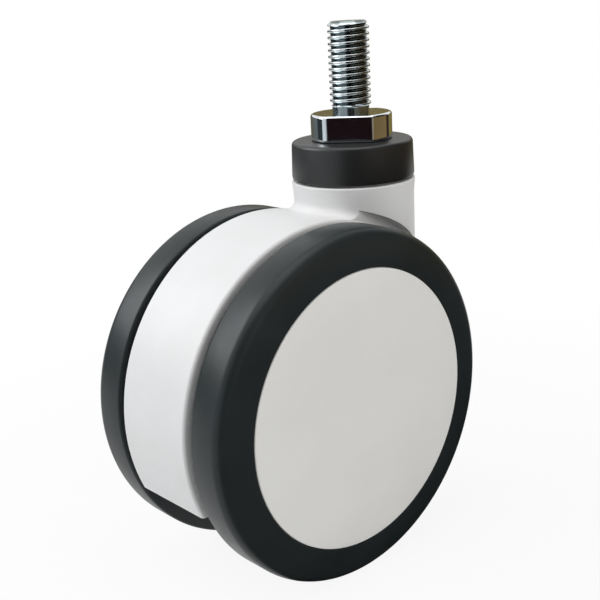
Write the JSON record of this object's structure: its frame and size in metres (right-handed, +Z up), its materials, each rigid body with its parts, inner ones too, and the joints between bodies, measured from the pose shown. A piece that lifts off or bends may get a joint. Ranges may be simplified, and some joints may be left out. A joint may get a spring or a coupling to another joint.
{
  "type": "chair caster wheel",
  "caption": "Twin-wheel swivel caster: threaded stem with a round two-flat collar, dust cap, pale moulded housing, dark tyres and flat pale hub covers.",
  "frame": {"origin": "on the swivel axis at the seat, the flat top face of the collar", "axes": "+Z up along the threaded stem, +X the direction of travel, Y along the axle, which trails behind the swivel axis on the -X side; +Y is the left side"},
  "size_m": [0.1006, 0.058, 0.1515],
  "materials": {
    "zinc_steel": "bright zinc plated steel",
    "bearing_steel": "ground bearing steel",
    "tyre_rubber": "satin thermoplastic rubber",
    "pale_nylon": "fine satin moulded nylon",
    "cap_plastic": "satin moulded plastic",
    "core_plastic": "moulded glass-filled nylon",
    "bush_plastic": "plain acetal"
  },
  "bodies": {
    "stem": {"threaded_stem": "zinc_steel", "dust_cap": "cap_plastic", "swivel_bearing_inner_race": "bearing_steel", "kingpin_washer": "zinc_steel", "kingpin_retaining_ring": "bearing_steel"},
    "housing": {"housing": "pale_nylon", "swivel_bearing_outer_race": "bearing_steel", "swivel_bearing_lower_shield": "bearing_steel", "swivel_bearing_upper_shield": "bearing_steel", "kingpin_bush": "bush_plastic", "axle": "bearing_steel", "left_axle_spacer": "bearing_steel", "left_bearing_inner_race": "bearing_steel", "left_axle_washer": "zinc_steel", "left_axle_retaining_ring": "bearing_steel", "right_axle_spacer": "bearing_steel", "right_bearing_inner_race": "bearing_steel", "right_axle_washer": "zinc_steel", "right_axle_retaining_ring": "bearing_steel"},
    "left_wheel": {"left_tyre": "tyre_rubber", "left_wheel_core": "core_plastic", "left_hub_cover": "pale_nylon", "left_bearing_outer_race": "bearing_steel", "left_bearing_inner_shield": "bearing_steel", "left_bearing_outer_shield": "bearing_steel"},
    "right_wheel": {"right_tyre": "tyre_rubber", "right_wheel_core": "core_plastic", "right_hub_cover": "pale_nylon", "right_bearing_outer_race": "bearing_steel", "right_bearing_inner_shield": "bearing_steel", "right_bearing_outer_shield": "bearing_steel"},
    "swivel_balls": {"swivel_bearing_ball_set": "bearing_steel"},
    "left_balls": {"left_bearing_ball_set": "bearing_steel"},
    "right_balls": {"right_bearing_ball_set": "bearing_steel"}
  },
  "joints": [
    {"name": "swivel", "type": "hinge", "parent": "stem", "child": "housing", "pos_m": [0, 0, 0], "axis": [0, 0, 1], "continuous": true},
    {"name": "swivel_cage", "type": "hinge", "parent": "stem", "child": "swivel_balls", "pos_m": [0, 0, 0], "axis": [0, 0, 1], "continuous": true},
    {"name": "left_roll", "type": "hinge", "parent": "housing", "child": "left_wheel", "pos_m": [-0.0272, 0, -0.076], "axis": [0, 1, 0], "continuous": true},
    {"name": "left_cage", "type": "hinge", "parent": "housing", "child": "left_balls", "pos_m": [-0.0272, 0, -0.076], "axis": [0, 1, 0], "continuous": true},
    {"name": "right_roll", "type": "hinge", "parent": "housing", "child": "right_wheel", "pos_m": [-0.0272, 0, -0.076], "axis": [0, 1, 0], "continuous": true},
    {"name": "right_cage", "type": "hinge", "parent": "housing", "child": "right_balls", "pos_m": [-0.0272, 0, -0.076], "axis": [0, 1, 0], "continuous": true}
  ],
  "couplings": [
    {"joint": "swivel_cage", "follows": "swivel", "ratio": 0.619},
    {"joint": "left_cage", "follows": "left_roll", "ratio": 0.6322},
    {"joint": "right_cage", "follows": "right_roll", "ratio": 0.6322}
  ]
}
